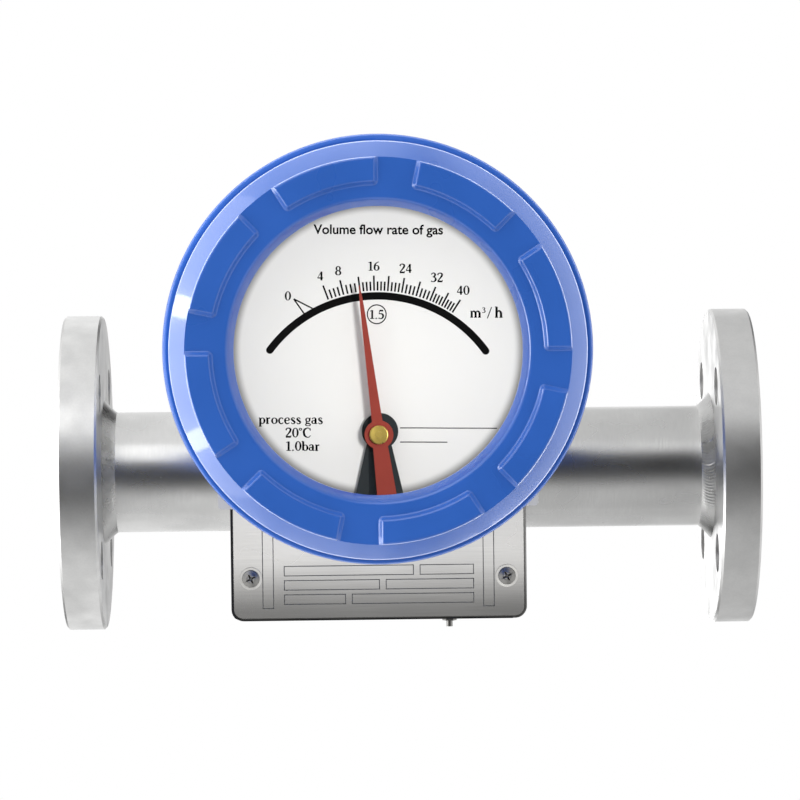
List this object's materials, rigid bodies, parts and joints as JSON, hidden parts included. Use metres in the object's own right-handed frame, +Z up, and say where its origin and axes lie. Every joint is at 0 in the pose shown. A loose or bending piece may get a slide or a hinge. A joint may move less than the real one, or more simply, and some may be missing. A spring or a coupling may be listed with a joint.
{
  "type": "rotameter",
  "caption": "Horizontal metal-tube rotameter: flanged steel tube with a sheet-metal box and a round blue indicator head with glass window, scale and red pointer.",
  "frame": {"origin": "centre of the inlet flange's gasket face", "axes": "+X along the pipe from inlet to outlet, +Z up, -Y out of the dial towards the reader"},
  "size_m": [0.25, 0.1891, 0.1777],
  "materials": {
    "stainless": "turned and pickled stainless steel, satin",
    "brushed_sheet": "brushed stainless sheet",
    "blue_paint": "gloss blue powder coat on cast aluminium",
    "glass": "clear flat toughened glass",
    "rubber": "matt black rubber",
    "aluminium": "plain turned aluminium",
    "dial_white": "satin white paint with printed scale",
    "black_paint": "matt black paint",
    "red_paint": "matt red paint",
    "brass": "turned brass",
    "magnet": "ground magnet alloy",
    "spring_steel": "drawn stainless wire",
    "screw_steel": "bright stainless fasteners"
  },
  "bodies": {
    "meter": {"measuring_tube": "stainless", "inlet_flange": "stainless", "outlet_flange": "stainless", "inlet_weld": "stainless", "outlet_weld": "stainless", "inlet_guide": "stainless", "outlet_guide": "stainless", "measuring_cone": "stainless", "retaining_rings": "stainless", "float_spring": "spring_steel", "box_shell": "brushed_sheet", "rear_shell": "brushed_sheet", "box_pillars": "stainless", "saddle_welds": "stainless", "nameplate": "brushed_sheet", "front_screws": "screw_steel", "front_washers": "screw_steel", "rear_screws": "screw_steel", "rear_washers": "screw_steel", "earth_screw": "screw_steel", "earth_nut": "screw_steel", "mounting_plate": "brushed_sheet", "head_screws": "screw_steel", "head_nuts": "screw_steel", "head_housing": "blue_paint", "blanking_plugs": "screw_steel", "dial_plate": "dial_white", "dial_pillars": "aluminium", "dial_screws": "screw_steel", "pointer_bracket": "black_paint", "bracket_screws": "screw_steel", "bracket_nuts": "screw_steel", "front_bearing": "brass", "rear_bearing": "brass"},
    "float": {"float_body": "stainless", "float_magnet": "magnet", "float_cap": "stainless"},
    "pointer_movement": {"pointer": "red_paint", "pointer_cap": "brass", "pointer_shaft": "stainless", "follower_arm": "aluminium", "follower_magnet": "magnet", "counterweight": "brass"},
    "cover": {"front_cover": "blue_paint", "cover_oring": "rubber", "window_glass": "glass", "glass_seal": "rubber", "glass_ring": "aluminium"}
  },
  "joints": [
    {"name": "float_slide", "type": "slide", "parent": "meter", "child": "float", "axis": [1, 0, 0], "range_m": [-0.0148, 0.0252], "stiffness_N_per_m": 40, "deforming": ["float_spring"]},
    {"name": "pointer_turn", "type": "hinge", "parent": "meter", "child": "pointer_movement", "pos_m": [0.1136, 0, 0.018], "axis": [0, 1, 0], "range_deg": [-24.8, 42.2]},
    {"name": "cover_unscrew", "type": "slide", "parent": "meter", "child": "cover", "axis": [0, -1, 0], "range_m": [0, 0.03]}
  ],
  "couplings": [
    {"joint": "pointer_turn", "follows": "float_slide", "rad_per_m": 29}
  ]
}
